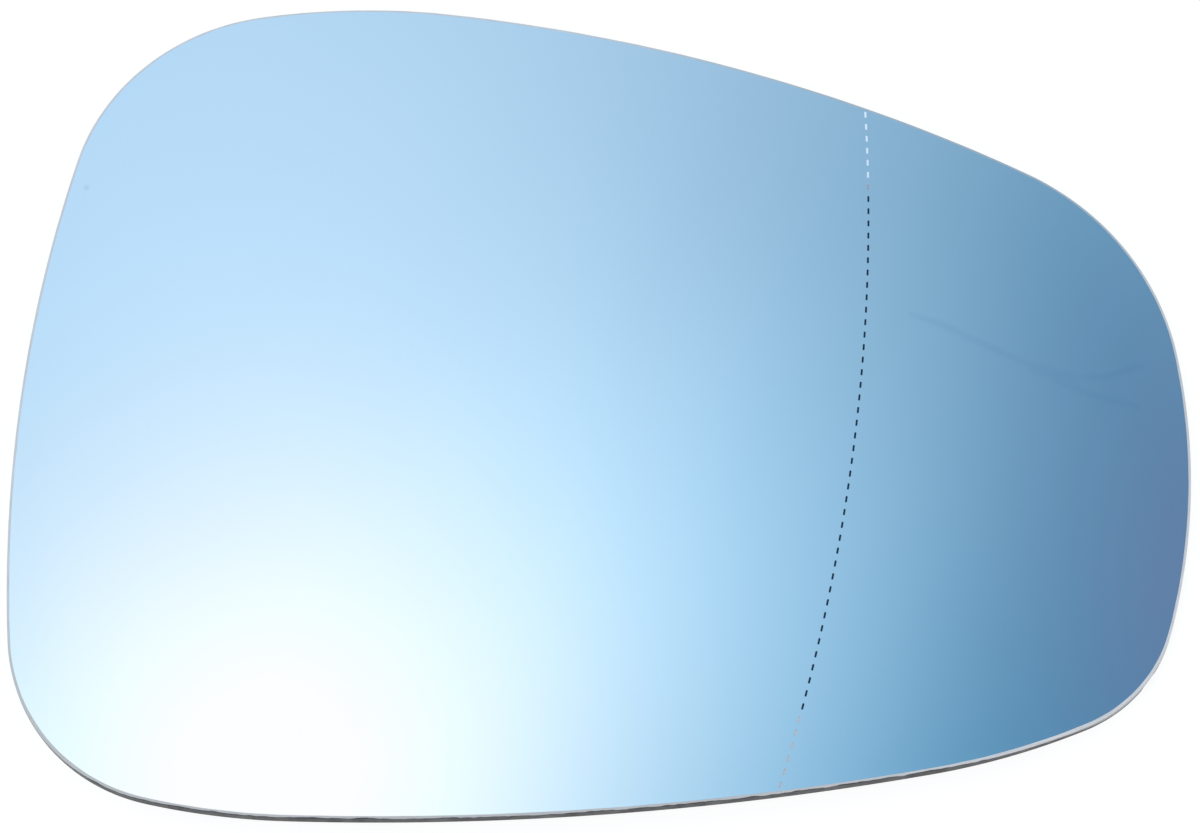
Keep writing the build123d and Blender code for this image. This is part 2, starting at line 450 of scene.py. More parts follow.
# Painted shade along the bottom, a painted highlight at the lower outer corner, the outer part of the edge
# greyed partly by painted shade, and bluish painted shade along the upper outer edge
FROST_NEAR_SHADE = colour(0.715, 0.715, 0.725)
FROST_CORNER_LIGHT = colour(0.98, 0.97, 1.0)
FROST_GREY = colour(0.50, 0.49, 0.50)
FROST_FAR_SHADE = colour(0.42, 0.52, 0.62)
# The outer part of the edge turns grey between these distances round its section, partly because the frost
# there is more see-through and partly as painted shade
FROST_TURNS_GREY = (0.40 * MM, 0.60 * MM)
# Painted shade darkens the frost these ways from the middle of the part, towards the dim near side and the
# dim far side, each between two distances
NEAR_SHADE_WAY = (0.0, -1.0, 0.0)
FROST_TURNS_NEAR_SHADE = (25.0 * MM, 48.0 * MM)
FAR_SHADE_WAY = (0.45, 0.89, 0.0)
FROST_TURNS_FAR_SHADE = (52.0 * MM, 66.0 * MM)
# Where the painted highlight on the frost is brightest, in millimetres, and how far round that place it
# reaches
CORNER_LIGHT_AT = (76.0, -47.0)
CORNER_LIGHT_REACH = 65.0 * MM
STREAK_STRENGTH = 0.4
CUT_DARK = colour(0.09, 0.088, 0.088)
CUT_GREY = colour(0.23, 0.22, 0.22)
CHIP_PATCH = 3.0 * MM
# How rough each finish is, and the size of its rougher and smoother patches
FROST_ROUGH = (0.45, 0.7)
FROST_PATCH = 0.8 * MM
CUT_ROUGH = (0.25, 0.5)
CUT_PATCH = 1.2 * MM
# Relief of the belt marks: the grain of the sand, how deep it is, and its strength on each finish
GRAIN = 0.1 * MM
RELIEF = 0.02 * MM
FROST_RELIEF = 0.4
CUT_RELIEF = 0.25

ground_frost, tree, shader = new_finish("ground_frost", metallic=0.0, ior=1.5)
marks = belt_marks(tree, GRAIN)
# The outer part of the edge is greyed partly by painted shade, mixed with the real streaks of the belt
painted_edge_shade = remapped(tree, attribute(tree, "profile"), FROST_TURNS_GREY, (0.0, 1.0), "SMOOTHSTEP")
edge_shade_and_streaks = maths(tree, "MAXIMUM", painted_edge_shade, maths(tree, "MULTIPLY", marks["Streaks"], STREAK_STRENGTH))
point = place_on(tree)
# Painted shade towards the bottom and towards the upper outer edge, and a painted highlight round the lower
# outer corner, set by direction from the middle of the part
painted_near_shade = remapped(tree, dotted(tree, point, NEAR_SHADE_WAY), FROST_TURNS_NEAR_SHADE, (0.0, 1.0), "SMOOTHSTEP")
painted_far_shade = remapped(tree, dotted(tree, point, FAR_SHADE_WAY), FROST_TURNS_FAR_SHADE, (0.0, 1.0), "SMOOTHSTEP")
painted_corner_light = stroke_mask(tree, CORNER_LIGHT_AT, CORNER_LIGHT_AT, CORNER_LIGHT_REACH)
frost = blended(tree, painted_corner_light, blended(tree, painted_near_shade, FROST_PALE, FROST_NEAR_SHADE), FROST_CORNER_LIGHT)
frost = blended(tree, edge_shade_and_streaks, frost, FROST_GREY)
tree.links.new(blended(tree, painted_far_shade, frost, FROST_FAR_SHADE), shader.inputs["Base Color"])
tree.links.new(patchy(tree, FROST_PATCH, *FROST_ROUGH), shader.inputs["Roughness"])
raise_relief(tree, shader, FROST_RELIEF, RELIEF, marks["Height"])

# An index below that of glass keeps the gloss of the cut edge weak, so it stays dark
cut_edge, tree, shader = new_finish("cut_glass_edge", metallic=0.0, ior=1.15)
marks = belt_marks(tree, GRAIN)
chipped = maths(tree, "MULTIPLY", marks["Streaks"], patchy(tree, CHIP_PATCH, 0.0, 1.0))
tree.links.new(blended(tree, chipped, CUT_DARK, CUT_GREY), shader.inputs["Base Color"])
tree.links.new(patchy(tree, CUT_PATCH, *CUT_ROUGH), shader.inputs["Roughness"])
raise_relief(tree, shader, CUT_RELIEF, RELIEF, marks["Height"])
print("rim finishes:", ground_frost.name, "and", cut_edge.name)

# %% [markdown]
# From behind, one looks through clear glass at the other side of the metal film, so the back is a grey
# mirror under a clear gloss. The dashes are gaps in the coat: through them one sees what lies behind the
# glass, dark where the foam pad is and pale near the rim, where there is only the white table. A number
# stored on each dash, backed, says which. The pale ones are brighter at the top than at the bottom: there,
# light from the far side gets under the glass, so a little glow is added for the lit table behind it.

# %% Back and dashes
BACK_GREY = colour(0.42, 0.44, 0.45)
BACK_CLOUD = colour(0.36, 0.38, 0.40)
CLOUD_PATCH = 15.0 * MM
# How rough the back and the dashes are, and the size of their rougher and smoother patches
BACK_ROUGH = (0.10, 0.18)
BACK_PATCH = 8.0 * MM
DASH_ROUGH = (0.06, 0.14)
DASH_PATCH = 0.5 * MM
DASH_OVER_PAD = colour(0.006, 0.045, 0.10)
DASH_PALE_TOP = colour(0.86, 0.92, 0.98)
DASH_PALE_BOTTOM = colour(0.70, 0.67, 0.69)
BLACK = colour(0.0, 0.0, 0.0)
DASH_GLOW = colour(0.45, 0.70, 1.0)
DASH_GLOW_STRENGTH = 0.26

mirror_back, tree, shader = new_finish(
    "mirror_back", metallic=1.0, coat_weight=1.0, coat_roughness=0.03, coat_ior=1.5
)
cloudy = blended(tree, patchy(tree, CLOUD_PATCH, 0.0, 1.0), BACK_GREY, BACK_CLOUD)
tree.links.new(cloudy, shader.inputs["Base Color"])
tree.links.new(patchy(tree, BACK_PATCH, *BACK_ROUGH), shader.inputs["Roughness"])

bare_dash, tree, shader = new_finish(
    "bare_glass_dash", metallic=0.0, ior=1.25, emission_strength=DASH_GLOW_STRENGTH
)
upward = add_node(tree, "ShaderNodeSeparateXYZ", {0: place_on(tree)}).outputs["Y"]
at_top = remapped(tree, upward, (glass_low.y, glass_high.y), (0.0, 1.0))
pale = blended(tree, at_top, DASH_PALE_BOTTOM, DASH_PALE_TOP)
backed = attribute(tree, "backed")
tree.links.new(blended(tree, backed, pale, DASH_OVER_PAD), shader.inputs["Base Color"])
lit_behind = maths(tree, "MULTIPLY", maths(tree, "SUBTRACT", 1.0, backed), at_top)
tree.links.new(blended(tree, lit_behind, BLACK, DASH_GLOW), shader.inputs["Emission Color"])
tree.links.new(patchy(tree, DASH_PATCH, *DASH_ROUGH), shader.inputs["Roughness"])
print("finishes:", mirror_back.name, "and", bare_dash.name)

# %% [markdown]
# The pad is black closed-cell foam. Its skin is a packed field of tiny cells, which a Voronoi texture gives:
# each cell is a low dome, and the thin walls between them are painted a little lighter, a painted highlight
# for the light they catch.

# %% Foam
FOAM_BLACK = colour(0.022, 0.022, 0.025)
# Painted highlight on the thin walls between the cells
FOAM_WALL_HIGHLIGHT = colour(0.045, 0.045, 0.05)
FOAM_CELL = 0.35 * MM
# A cell turns into its wall between these shares of its size from the middle
CELL_TO_WALL = (0.25, 0.75)
DOME_HEIGHT = 0.05 * MM
DOME_RELIEF = 0.6
FOAM_ROUGH = (0.75, 0.95)
FOAM_PATCH = 4.0 * MM

black_foam, tree, shader = new_finish("closed_cell_foam", metallic=0.0, ior=1.45)
cells = add_node(tree, "ShaderNodeTexVoronoi", {"Vector": place_on(tree), "Scale": 1 / FOAM_CELL})
painted_wall_highlight = remapped(tree, cells.outputs["Distance"], CELL_TO_WALL, (0.0, 1.0))
tree.links.new(blended(tree, painted_wall_highlight, FOAM_BLACK, FOAM_WALL_HIGHLIGHT), shader.inputs["Base Color"])
tree.links.new(patchy(tree, FOAM_PATCH, *FOAM_ROUGH), shader.inputs["Roughness"])
raise_relief(tree, shader, DOME_RELIEF, DOME_HEIGHT, cells.outputs["Distance"], invert=True)
print("foam cells of", FOAM_CELL / MM, "mm")

# %% [markdown]
# The outline is eleven arcs. The bottom, the outer end, the crown and the inner end are placed by where they
# touch the part's box. The crown runs on into a long flatter slope, the bottom into a tighter arc at each
# end, and each corner is the one circle of its radius that touches both its neighbours. A curve drawn by eye
# through many points would be quicker, but arcs stay smooth however closely they are sampled.

# %% Outline
CROWN_AT = -37.5 * MM
BOTTOM_AT = -29.0 * MM
INNER_AT = -20.0 * MM
OUTER_AT = -8.0 * MM
CROWN_RADIUS = 109.0 * MM
BOTTOM_RADIUS = 405.0 * MM
INNER_RADIUS = 236.0 * MM
OUTER_RADIUS = 101.0 * MM
CROWN_END = math.radians(7.8)
SLOPE_RADIUS = 280.0 * MM
BOTTOM_INNER_END = math.radians(2.3)
BOTTOM_INNER_RADIUS = 105.0 * MM
BOTTOM_OUTER_END = math.radians(10.9)
BOTTOM_OUTER_RADIUS = 105.0 * MM
UPPER_INNER_RADIUS = 33.0 * MM
UPPER_OUTER_RADIUS = 40.0 * MM
LOWER_INNER_RADIUS = 27.5 * MM
LOWER_OUTER_RADIUS = 23.5 * MM
RIM_STEP = 0.5 * MM


def corner_arc(first, second, radius):
    """The arc of that radius that touches two side arcs from inside, met in anticlockwise order."""
    (first_centre, first_radius), (second_centre, second_radius) = first, second
    across = second_centre - first_centre
    first_reach = first_radius - radius
    second_reach = second_radius - radius
    along = (first_reach**2 - second_reach**2 + across.length_squared) / (2 * across.length)
    aside = math.sqrt(first_reach**2 - along**2)
    forward = across.normalized()
    return first_centre + forward * along + forward.orthogonal() * aside, radius


def run_on(arc, way, radius):
    """The arc of that radius that carries on without a kink from where another one faces that way."""
    return arc[0] + Vector(way) * (arc[1] - radius), radius


def outline_arcs():
    """Every arc of the outline as a centre and a radius, anticlockwise from the bottom."""
    bottom = Vector((BOTTOM_AT, glass_low.y + BOTTOM_RADIUS)), BOTTOM_RADIUS
    outer = Vector((glass_high.x - OUTER_RADIUS, OUTER_AT)), OUTER_RADIUS
    crown = Vector((CROWN_AT, glass_high.y - CROWN_RADIUS)), CROWN_RADIUS
    inner = Vector((glass_low.x + INNER_RADIUS, INNER_AT)), INNER_RADIUS
    slope = run_on(crown, (math.sin(CROWN_END), math.cos(CROWN_END)), SLOPE_RADIUS)
    outer_way = math.sin(BOTTOM_OUTER_END), -math.cos(BOTTOM_OUTER_END)
    bottom_outer = run_on(bottom, outer_way, BOTTOM_OUTER_RADIUS)
    inner_way = -math.sin(BOTTOM_INNER_END), -math.cos(BOTTOM_INNER_END)
    bottom_inner = run_on(bottom, inner_way, BOTTOM_INNER_RADIUS)
    return [
        bottom,
        bottom_outer,
        corner_arc(bottom_outer, outer, LOWER_OUTER_RADIUS),
        outer,
        corner_arc(outer, slope, UPPER_OUTER_RADIUS),
        slope,
        crown,
        corner_arc(crown, inner, UPPER_INNER_RADIUS),
        inner,
        corner_arc(inner, bottom_inner, LOWER_INNER_RADIUS),
        bottom_inner,
    ]


def way_to_touch(one, other):
    """The way from a centre to where two neighbouring arcs touch."""
    return (other[0] - one[0]).normalized() if one[1] > other[1] else (one[0] - other[0]).normalized()


def rim_points(step):
    """Points all round the outline, about that far apart, and the way out of the glass at each."""
    arcs = outline_arcs()
    points = []
    ways = []
    for number, (centre, radius) in enumerate(arcs):
        start = way_to_touch(arcs[number - 1], arcs[number])
        end = way_to_touch(arcs[number], arcs[(number + 1) % len(arcs)])
        first = math.atan2(start.y, start.x)
        turn = (math.atan2(end.y, end.x) - first) % math.tau
        count = round(radius * turn / step)
        for angle in first + turn * np.arange(count) / count:
            ways.append((math.cos(angle), math.sin(angle)))
            points.append(centre + radius * Vector(ways[-1]))
    return np.array(points), np.array(ways)


rim, outward = rim_points(RIM_STEP)
print("rim of", len(rim), "points,", [round(v / MM, 2) for v in (*rim.min(0), *rim.max(0))])

# %% [markdown]
# Glass is cut and ground flat and bent afterwards in a furnace, and the mesh is made in the same order. The
# flat blank is a stack of rings that follow the outline: out across the face, down over the ground edge and
# the cut edge, and back in underneath. Each band between two rings belongs to a zone, a number stored on its
# faces, and each zone gets its own finish later. The belt was held by hand, so the border of the frost
# wanders a little. Along the bottom it stays near the top of the edge and leaves a dark bare strip; at the
# lower outer corner and everywhere else the frost covers nearly the whole edge. At that corner a small flake
# has broken off the back of the edge.

# %% Flat glass blank
COAT, FROST, CUT, BACK, DASH, FOAM = range(6)
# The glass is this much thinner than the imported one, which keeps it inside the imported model's box
FRAME_SLACK = 0.02 * MM
GLASS_THICKNESS = 2.0 * MM - FRAME_SLACK
FRONT_GRIND = 0.4 * MM
BACK_GRIND = 0.25 * MM
FACE_RINGS = 40
BACK_RINGS = 12
# The ground slope goes down by this share of how far it goes in
SLOPE_SHARE = 0.6
# The coat's border and the slope's lower edge waver: how far, and how long the waves are
COAT_WAVER = 0.03 * MM
COAT_WAVE = 3.0 * MM
SLOPE_WAVER = 0.05 * MM
SLOPE_WAVE = 4.0 * MM
# How far past the slope's lower edge the frost reaches along the bottom, how much further it reaches where
# it is deep, and how far that spreads from the lower outer corner
FROST_PAST_SLOPE = -0.1 * MM
DEEP_FROST = 1.2 * MM
DEEP_FROST_REACH = 15.0 * MM
# The edge starts to be left bare where it faces down by the first share, and is bare from the second
BARE_EDGE = (0.62, 0.84)
# Waves along the border of the frost: how long and how high each kind is, in millimetres
FROST_WAVES = [(1.0, 0.09), (2.5, 0.11), (7.0, 0.10)]
# The frost's border is this far inside the rim at most, and keeps off the slope's edge and the ground back
BORDER_INSET = 0.6 * FRONT_GRIND
BORDER_OFF_SLOPE = 0.02 * MM
BORDER_OFF_BACK = 0.03 * MM
# The missing flake: its middle, its length along the edge, how much deeper than the ground back it goes, and
# how uneven its break is, as a share of that depth in bumps of this size
FLAKE_AT = np.array([80.1, -43.9]) * MM
FLAKE_LENGTH = 3.0 * MM
FLAKE_DEPTH = 0.75 * MM
FLAKE_UNEVEN = 0.3
FLAKE_BUMP = 0.8 * MM
# Seeds of the noise, where the waves of the frost take one each from the third on
COAT_SEED = 1
SLOPE_SEED = 2
FROST_SEED = 3
FLAKE_SEED = 6
# Place of the lower outer corner among the outline's arcs
LOWER_OUTER_ARC = 2


def wander(size, seed):
    """A number from about -1 to 1 for each rim point, that changes smoothly along the rim."""
    return np.array([noise.noise(Vector((x / size, y / size, seed))) for x, y in rim])


def ring(points, ways, inset, depth):
    """One ring of the blank, that far inside the outline and that far below the face."""
    inset = np.broadcast_to(inset, len(points))
    depth = np.broadcast_to(depth, len(points))
    return np.column_stack([points - ways * inset[:, None], -depth])


def closed_blank(name, rings, zones, front_zone, back_zone, front_count, back_count):
    """A closed flat mesh from its edge rings, front to back, with both faces filled in."""
    front = [rings[0] * (share, share, 1) for share in np.arange(1, front_count) / front_count]
    back = [rings[-1] * (share, share, 1) for share in np.arange(back_count - 1, 0, -1) / back_count]
    stack = front + list(rings) + back
    bands = [front_zone] * len(front) + list(zones) + [back_zone] * len(back)
    around = len(rings[0])
    points = np.vstack([(0, 0, rings[0][0, 2]), *stack, (0, 0, rings[-1][0, 2])])
    here = np.arange(around)
    after = np.roll(here, -1)
    faces = [(0, 1 + a, 1 + b) for a, b in zip(here, after)]
    face_zones = [front_zone] * around
    for band, zone in enumerate(bands):
        inner = 1 + band * around
        outer = inner + around
        faces += [(inner + a, outer + a, outer + b, inner + b) for a, b in zip(here, after)]
        face_zones += list(np.broadcast_to(zone, around))
    last = len(points) - 1
    faces += [(last, last - around + b, last - around + a) for a, b in zip(here, after)]
    face_zones += [back_zone] * around
    steps = [np.linalg.norm(b - a, axis=1).mean() for a, b in zip(rings, rings[1:])]
    travelled = [0.0] * len(front) + [0.0, *np.cumsum(steps)] + [sum(steps)] * len(back)
    mesh = bpy.data.meshes.new(name)
    mesh.from_pydata(points.tolist(), [], [tuple(int(i) for i in face) for face in faces])
    profile = np.concatenate([[0.0], np.repeat(travelled, around), [sum(steps)]])
    mesh.attributes.new("profile", "FLOAT", "POINT").data.foreach_set("value", profile.astype(np.float32))
    mesh.attributes.new("zone", "INT", "FACE").data.foreach_set("value", face_zones)
    blank = bpy.data.objects.new(name, mesh)
    scene.collection.objects.link(blank)
    return blank


coat_edge = FRONT_GRIND + COAT_WAVER * wander(COAT_WAVE, COAT_SEED)
grind_depth = SLOPE_SHARE * FRONT_GRIND + SLOPE_WAVER * wander(SLOPE_WAVE, SLOPE_SEED)
lower_outer_centre, lower_outer_radius = outline_arcs()[LOWER_OUTER_ARC]
corner_way = Vector((1, -1)).normalized()
corner_middle = np.array(lower_outer_centre + corner_way * lower_outer_radius)
nearness = np.exp(-((np.linalg.norm(rim - corner_middle, axis=1) / DEEP_FROST_REACH) ** 2))
turned_away = np.interp(-outward[:, 1], BARE_EDGE, (1.0, 0.0))
past_slope = FROST_PAST_SLOPE + DEEP_FROST * np.maximum(nearness, turned_away)
for seed, (length, height) in enumerate(FROST_WAVES, start=FROST_SEED):
    past_slope += height * MM * wander(length * MM, seed)
flaked = np.linalg.norm(rim - FLAKE_AT, axis=1) < FLAKE_LENGTH / 2
flake_depth = FLAKE_DEPTH * (1 + FLAKE_UNEVEN * wander(FLAKE_BUMP, FLAKE_SEED))
back_grind = np.where(flaked, BACK_GRIND + flake_depth, BACK_GRIND)
wall_room = GLASS_THICKNESS - back_grind - grind_depth - BORDER_OFF_BACK
past_slope = np.clip(past_slope, -BORDER_INSET, wall_room)
on_wall = past_slope > 0
below_edge = np.maximum(past_slope, BORDER_OFF_SLOPE)
above_edge = np.minimum(past_slope, -BORDER_OFF_SLOPE)
past_slope = np.where(on_wall, below_edge, above_edge)
slope_left = np.where(on_wall, 0.0, -past_slope)
wall_covered = np.where(on_wall, past_slope, 0.0)
glass_rings = [
    ring(rim, outward, coat_edge, 0.0),
    ring(rim, outward, slope_left, grind_depth * (1 - slope_left / coat_edge)),
    ring(rim, outward, 0.0, grind_depth + wall_covered),
    ring(rim, outward, 0.0, GLASS_THICKNESS - back_grind),
    ring(rim, outward, back_grind, GLASS_THICKNESS),
]
border = np.where(on_wall, FROST, CUT)
glass_zones = [FROST, border, CUT, np.where(flaked, CUT, FROST)]
glass_blank = closed_blank("glass_blank", glass_rings, glass_zones, COAT, BACK, FACE_RINGS, BACK_RINGS)
print("glass blank of", len(glass_blank.data.polygons), "faces")
print("flake missing along", flaked.sum(), "steps of the rim")

# %% [markdown]
# The pad is made the same way: a flat die-cut blank that lies against the back of the glass, well inside the
# rim. A die presses foam in as it cuts, so its edges are rounded over and its wall is slightly hollow.

# %% Flat pad blank
PAD_INSET = 12.0 * MM
PAD_TOP = 2.0 * MM
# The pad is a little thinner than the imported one, which keeps it clear of the table
PAD_THICKNESS = 0.96 * MM
PAD_BOTTOM = PAD_TOP + PAD_THICKNESS
PAD_ROUND = 0.15 * MM
# Halfway round the rounded edge, the pad has come in from its wall and its face by this much
PAD_SHOULDER = 0.3 * PAD_ROUND
PAD_HOLLOW = 0.06 * MM
PAD_RIM_STEP = 1.0 * MM
PAD_FACE_RINGS = 20

pad_rim, pad_outward = rim_points(PAD_RIM_STEP)
# How far inside the pad's outline and how far below the face each ring of its edge lies
pad_section = [
    (PAD_ROUND, PAD_TOP),
    (PAD_SHOULDER, PAD_TOP + PAD_SHOULDER),
    (0.0, PAD_TOP + PAD_ROUND),
    (PAD_HOLLOW, (PAD_TOP + PAD_BOTTOM) / 2),
    (0.0, PAD_BOTTOM - PAD_ROUND),
    (PAD_SHOULDER, PAD_BOTTOM - PAD_SHOULDER),
    (PAD_ROUND, PAD_BOTTOM),
]
pad_rings = [ring(pad_rim, pad_outward, PAD_INSET + inset, depth) for inset, depth in pad_section]
pad_zones = [FOAM] * (len(pad_rings) - 1)
pad_blank = closed_blank("pad_blank", pad_rings, pad_zones, FOAM, FOAM, PAD_FACE_RINGS, PAD_FACE_RINGS)
print("pad blank of", len(pad_blank.data.polygons), "faces")

# %% [markdown]
# The dashes are one short gap in the coat, repeated about every 2 mm along the dividing line. That line is a
# circle on the ball, about an axis that leans a little, so Geometry Nodes draw an arc of that radius, turn
# it into place and drop it flat onto the blank. One rounded slot is then placed on every point of the arc,
# turned to follow it. A ray sent down through the glass, the way one looks into it, tells whether the pad
# lies behind a slot.

# %% Where the dividing line runs
CREST = Vector((3.0, -6.0, 0.0)) * MM
BALL_RADIUS = 1400.0 * MM
DIVIDE_AT = Vector((40.4, 36.8, 0.0)) * MM
LINE_RADIUS = 325.0 * MM
DASH_PITCH = 2.06 * MM
# A dash is left out if its middle would come closer than this to the rim
DASH_TO_RIM = 0.7 * MM
# More dashes than fit on the glass, either way from where the line stands upright
MOST_DASHES = 99

line_up = DIVIDE_AT - CREST
line_up.z = math.sqrt(BALL_RADIUS**2 - line_up.length_squared)
line_up.normalize()
line_out = (Vector((1, 0, 0)) - line_up * line_up.x).normalized()
line_angle = math.asin(LINE_RADIUS / BALL_RADIUS)
line_axis = line_up * math.cos(line_angle) - line_out * math.sin(line_angle)
line_reach = line_up * math.sin(line_angle) + line_out * math.cos(line_angle)
line_turn = Matrix((line_reach, line_axis.cross(line_reach), line_axis)).transposed()
line_centre = CREST + line_axis * BALL_RADIUS * math.cos(line_angle)
dash_step = DASH_PITCH / LINE_RADIUS


def room_to_rim(number):
    """How far inside the outline a dash's middle lies, the dash being that many steps along the line."""
    angle = number * dash_step
    middle = line_centre + line_turn @ Vector((math.cos(angle), math.sin(angle), 0)) * LINE_RADIUS
    return np.min(np.sum((rim - np.array(middle.xy)) * outward, axis=1))


tried = range(-MOST_DASHES, MOST_DASHES + 1)
dash_numbers = [number for number in tried if room_to_rim(number) > DASH_TO_RIM]
print(len(dash_numbers), "dashes, from", dash_numbers[0], "to", dash_numbers[-1])

# %% Dashes
DASH_LENGTH = 1.0 * MM
DASH_WIDTH = 0.3 * MM
DASH_DEPTH = 0.08 * MM
DASH_ROUND = 0.1 * MM
ROUND_STEPS = 3
SIGHT_IN_GLASS = (0.0, 0.28, -1.0)
RAY_LENGTH = 10.0 * MM

dash_row, given, result = new_group(
    "GeometryNodeTree", "row_of_dashes",
    {"Line Radius": "Float", "Start": "Float", "Sweep": "Float", "Count": "Int", "Line Centre": "Vector",
     "Line Turn": "Vector", "Length": "Float", "Width": "Float", "Depth": "Float", "Pad": "Object"},
    {"Geometry": "Geometry"},
)
arc = {"Resolution": given["Count"], "Radius": given["Line Radius"], "Start Angle": given["Start"]}
arc["Sweep Angle"] = given["Sweep"]
line = add_node(dash_row, "GeometryNodeCurveArc", arc, mode="RADIUS").outputs["Curve"]
turned = {"Geometry": line, "Translation": given["Line Centre"], "Rotation": given["Line Turn"]}
line = add_node(dash_row, "GeometryNodeTransform", turned).outputs[0]
flat = vectors(dash_row, "MULTIPLY", add_node(dash_row, "GeometryNodeInputPosition").outputs[0], (1, 1, 0))
line = add_node(dash_row, "GeometryNodeSetPosition", {"Geometry": line, "Position": flat}).outputs[0]
slot_shape = {"Width": given["Width"], "Height": given["Length"]}
slot = add_node(dash_row, "GeometryNodeCurvePrimitiveQuadrilateral", slot_shape).outputs[0]
rounding = {"Curve": slot, "Count": ROUND_STEPS, "Radius": DASH_ROUND}
slot = add_node(dash_row, "GeometryNodeFilletCurve", rounding, mode="POLY").outputs[0]
below = maths(dash_row, "MULTIPLY", given["Depth"], -1.0)
bottom = add_node(dash_row, "ShaderNodeCombineXYZ", {"Z": below}).outputs[0]
top = add_node(dash_row, "ShaderNodeCombineXYZ", {"Z": given["Depth"]}).outputs[0]
post = add_node(dash_row, "GeometryNodeCurvePrimitiveLine", {"Start": bottom, "End": top}).outputs[0]
solid = {"Curve": post, "Profile Curve": slot, "Fill Caps": True}
slot = add_node(dash_row, "GeometryNodeCurveToMesh", solid).outputs[0]
tangent = {"Vector": add_node(dash_row, "GeometryNodeInputTangent").outputs[0]}
follow = add_node(dash_row, "FunctionNodeAlignRotationToVector", tangent, axis="Y", pivot_axis="Z")
copies = {"Points": line, "Instance": slot, "Rotation": follow.outputs[0]}
row = add_node(dash_row, "GeometryNodeInstanceOnPoints", copies).outputs[0]
row = add_node(dash_row, "GeometryNodeRealizeInstances", {"Geometry": row}).outputs[0]
pad_shape = add_node(dash_row, "GeometryNodeObjectInfo", {"Object": given["Pad"]}).outputs["Geometry"]
look = {"Target Geometry": pad_shape, "Ray Direction": SIGHT_IN_GLASS, "Ray Length": RAY_LENGTH}
hit = add_node(dash_row, "GeometryNodeRaycast", look).outputs["Is Hit"]
# Adding nothing turns the answer into a number, which can be averaged over a face
hit = maths(dash_row, "ADD", hit, 0.0)
backed = add_node(dash_row, "GeometryNodeFieldOnDomain", {0: hit}, domain="POINT").outputs[0]
for name, value, kind in (("backed", backed, "FLOAT"), ("zone", DASH, "INT")):
    stored = {"Geometry": row, "Name": name, "Value": value}
    store = add_node(dash_row, "GeometryNodeStoreNamedAttribute", stored, data_type=kind, domain="FACE")
    row = store.outputs[0]
row = add_node(dash_row, "GeometryNodeSetMaterial", {"Geometry": row, "Material": bare_dash}).outputs[0]
dash_row.links.new(row, result["Geometry"])


def shape_with(blank, tree, values):
    """The plain mesh that a Geometry Nodes tree makes of an object, with these named inputs."""
    modifier = blank.modifiers.new(tree.name, "NODES")
    modifier.node_group = tree
    for item in tree.interface.items_tree:
        if item.in_out == "INPUT" and item.name in values:
            modifier[item.identifier] = values[item.name]
    depsgraph = bpy.context.evaluated_depsgraph_get()
    evaluated = blank.evaluated_get(depsgraph)
    mesh = bpy.data.meshes.new_from_object(evaluated, preserve_all_data_layers=True, depsgraph=depsgraph)
    blank.modifiers.remove(modifier)
    return mesh


cutters = bpy.data.objects.new("dash_cutters", bpy.data.meshes.new("dash_cutters"))
scene.collection.objects.link(cutters)
cutters.data = shape_with(cutters, dash_row, {
    "Line Radius": LINE_RADIUS,
    "Start": dash_numbers[0] * dash_step,
    "Sweep": (dash_numbers[-1] - dash_numbers[0]) * dash_step,
    "Count": len(dash_numbers),
    "Line Centre": line_centre,
    "Line Turn": line_turn.to_euler(),
    "Length": DASH_LENGTH,
    "Width": DASH_WIDTH,
    "Depth": DASH_DEPTH,
    "Pad": pad_blank,
})
print("dash cutters of", len(cutters.data.polygons), "faces")

# %% [markdown]
# Now the blanks are bent over the mould. The mould is a ball up to the dividing line; past it, the curve
# tightens steadily towards the outer end, which is what gives the driver a wider view there. Geometry Nodes
# suit this well, because the shape is a rule: every point drops by the ball's own drop plus a cubic in its
# distance past the line. The same tree bends the glass and the pad, so the pad follows the back of the glass
# all over. It ends by giving each zone its finish.

# %% Bending over the mould
OUTER_END_RADIUS = 350.0 * MM
bend_growth = (1 / OUTER_END_RADIUS - 1 / BALL_RADIUS) / (glass_high.x - DIVIDE_AT.x)

mould, given, result = new_group(
    "GeometryNodeTree", "bend_over_mould",
    {"Geometry": "Geometry", "Crest": "Vector", "Ball Radius": "Float", "Line Axis": "Vector",
     "Line Angle": "Float", "Bend Growth": "Float", "Lift": "Float"},
    {"Geometry": "Geometry"},
)
position = add_node(mould, "GeometryNodeInputPosition").outputs[0]
from_crest = vectors(mould, "MULTIPLY", vectors(mould, "SUBTRACT", position, given["Crest"]), (1, 1, 0))
span_square = dotted(mould, from_crest, from_crest)
radius_square = maths(mould, "MULTIPLY", given["Ball Radius"], given["Ball Radius"])
rise = maths(mould, "SQRT", maths(mould, "SUBTRACT", radius_square, span_square))
ball_drop = maths(mould, "DIVIDE", span_square, maths(mould, "ADD", given["Ball Radius"], rise))
above_centre = maths(mould, "SUBTRACT", given["Ball Radius"], ball_drop)
upward = add_node(mould, "ShaderNodeCombineXYZ", {"Z": above_centre}).outputs[0]
from_centre = vectors(mould, "ADD", from_crest, upward)
along_axis = dotted(mould, from_centre, given["Line Axis"])
off_axis = vectors(mould, "SUBTRACT", from_centre, scaled(mould, given["Line Axis"], along_axis))
off_axis = maths(mould, "SQRT", dotted(mould, off_axis, off_axis))
sideways = maths(mould, "MULTIPLY", off_axis, maths(mould, "COSINE", given["Line Angle"]))
backward = maths(mould, "MULTIPLY", along_axis, maths(mould, "SINE", given["Line Angle"]))
past_line = maths(mould, "MAXIMUM", maths(mould, "SUBTRACT", sideways, backward), 0.0)
cube = maths(mould, "POWER", past_line, 3.0)
outer_drop = maths(mould, "DIVIDE", maths(mould, "MULTIPLY", cube, given["Bend Growth"]), 6.0)
drop = maths(mould, "ADD", ball_drop, outer_drop)
